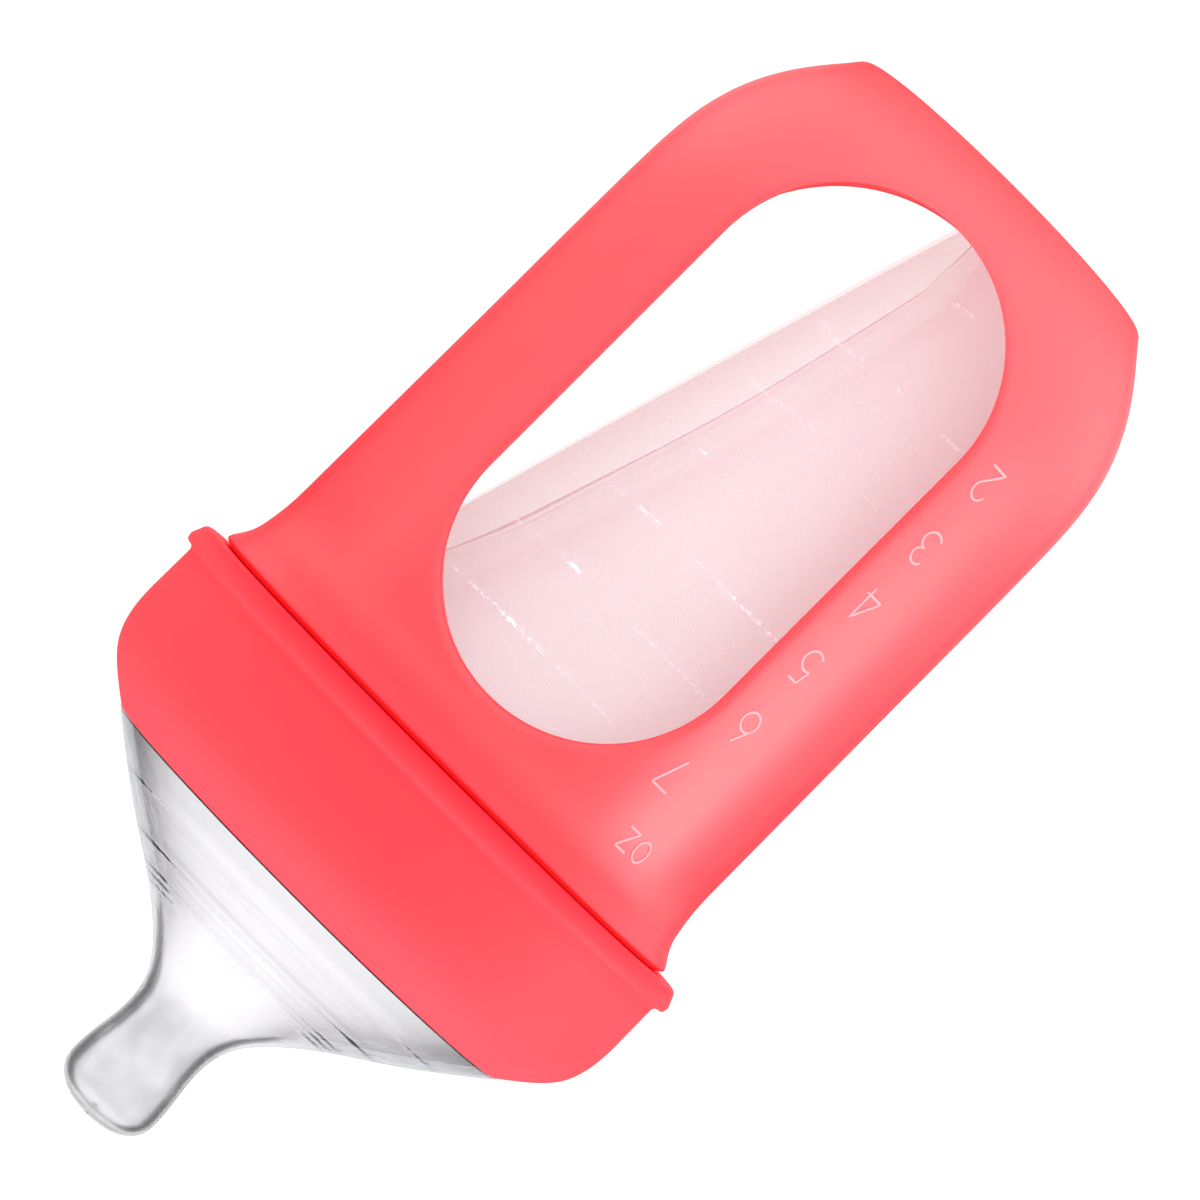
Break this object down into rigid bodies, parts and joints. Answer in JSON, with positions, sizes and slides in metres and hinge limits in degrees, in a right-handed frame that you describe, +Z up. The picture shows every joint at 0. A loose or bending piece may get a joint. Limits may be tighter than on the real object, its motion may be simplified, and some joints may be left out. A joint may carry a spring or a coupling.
{
  "type": "infant feeding bottle",
  "caption": "Wide-neck infant feeding bottle: windowed rigid shell, folded silicone pouch inside, clear nipple and a domed threaded collar.",
  "frame": {"origin": "centre of the flat underside of the bottle's base", "axes": "+Z up along the bottle's axis towards the nipple's tip, -Y out of the front window, -X on the side of the volume scale"},
  "size_m": [0.0824, 0.0824, 0.158],
  "materials": {
    "coral_plastic": "satin moulded, coral",
    "clear_silicone": "clear glossy silicone",
    "milky_silicone": "translucent milky silicone"
  },
  "bodies": {
    "shell": {"bottle_shell": "coral_plastic"},
    "pouch": {"silicone_pouch": "milky_silicone"},
    "nipple": {"nipple": "clear_silicone"},
    "collar": {"threaded_collar": "coral_plastic"}
  },
  "joints": [
    {"name": "nipple_lift", "type": "slide", "parent": "shell", "child": "nipple", "axis": [0, 0, 1], "range_m": [0, 0.0136]},
    {"name": "collar_turn", "type": "hinge", "parent": "nipple", "child": "collar", "pos_m": [0, 0, 0.1], "axis": [0, 0, 1], "range_deg": [0, 1080]},
    {"name": "pouch_lift", "type": "slide", "parent": "shell", "child": "pouch", "axis": [0, 0, 1], "range_m": [0, 0.0061]}
  ],
  "couplings": [
    {"joint": "nipple_lift", "follows": "collar_turn", "m_per_rad": 0.0007162},
    {"joint": "pouch_lift", "follows": "collar_turn", "m_per_rad": 0.00031831}
  ]
}
